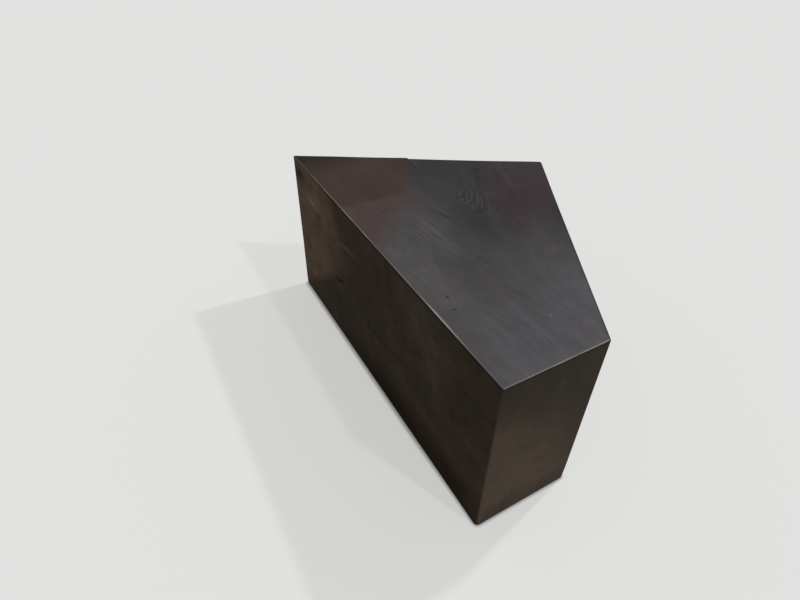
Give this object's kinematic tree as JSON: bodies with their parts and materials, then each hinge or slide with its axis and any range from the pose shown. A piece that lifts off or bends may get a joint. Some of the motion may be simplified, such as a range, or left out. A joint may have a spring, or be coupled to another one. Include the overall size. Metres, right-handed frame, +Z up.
{
  "type": "side table",
  "caption": "Low block side table on a kite-shaped plan: a hollow case of dark stained boards, mitred at every arris, with a flat top and an open foot on glides.",
  "frame": {"origin": "on the floor, under the centre of the plan's box", "axes": "+X along the long side from the sharp corner to the front corner, +Y from the long side towards the back corner, +Z up"},
  "size_m": [0.9806, 0.612, 0.457],
  "materials": {
    "stained_wood": "dark stain under satin lacquer",
    "case_wood": "planed, unfinished",
    "tongue_wood": "planed, unfinished",
    "zinc_steel": "zinc plated",
    "nylon": "moulded"
  },
  "bodies": {
    "root": {"back_corner_post": "case_wood", "back_corner_tongue": "tongue_wood", "back_left_foot_rail": "case_wood", "back_left_lower_board": "stained_wood", "back_left_top_cleat": "case_wood", "back_left_top_tongue": "tongue_wood", "back_left_upper_board": "stained_wood", "back_right_foot_rail": "case_wood", "back_right_lower_board": "stained_wood", "back_right_top_cleat": "case_wood", "back_right_top_tongue": "tongue_wood", "back_right_upper_board": "stained_wood", "batten_screws": "zinc_steel", "blunt_corner_post": "case_wood", "blunt_corner_tongue": "tongue_wood", "cleat_screws": "zinc_steel", "far_top_batten": "case_wood", "floor_glides": "nylon", "front_corner_post": "case_wood", "front_corner_tongue": "tongue_wood", "glide_screws": "zinc_steel", "long_side_foot_rail": "case_wood", "long_side_lower_board": "stained_wood", "long_side_top_cleat": "case_wood", "long_side_top_tongue": "tongue_wood", "long_side_upper_board": "stained_wood", "near_top_batten": "case_wood", "rail_screws": "zinc_steel", "sharp_corner_post": "case_wood", "sharp_corner_tongue": "tongue_wood", "short_end_foot_rail": "case_wood", "short_end_top_cleat": "case_wood", "short_end_top_tongue": "tongue_wood", "short_end_upright_board": "stained_wood", "top_back_board": "stained_wood", "top_front_board": "stained_wood", "top_screws": "zinc_steel"}
  },
  "joints": []
}
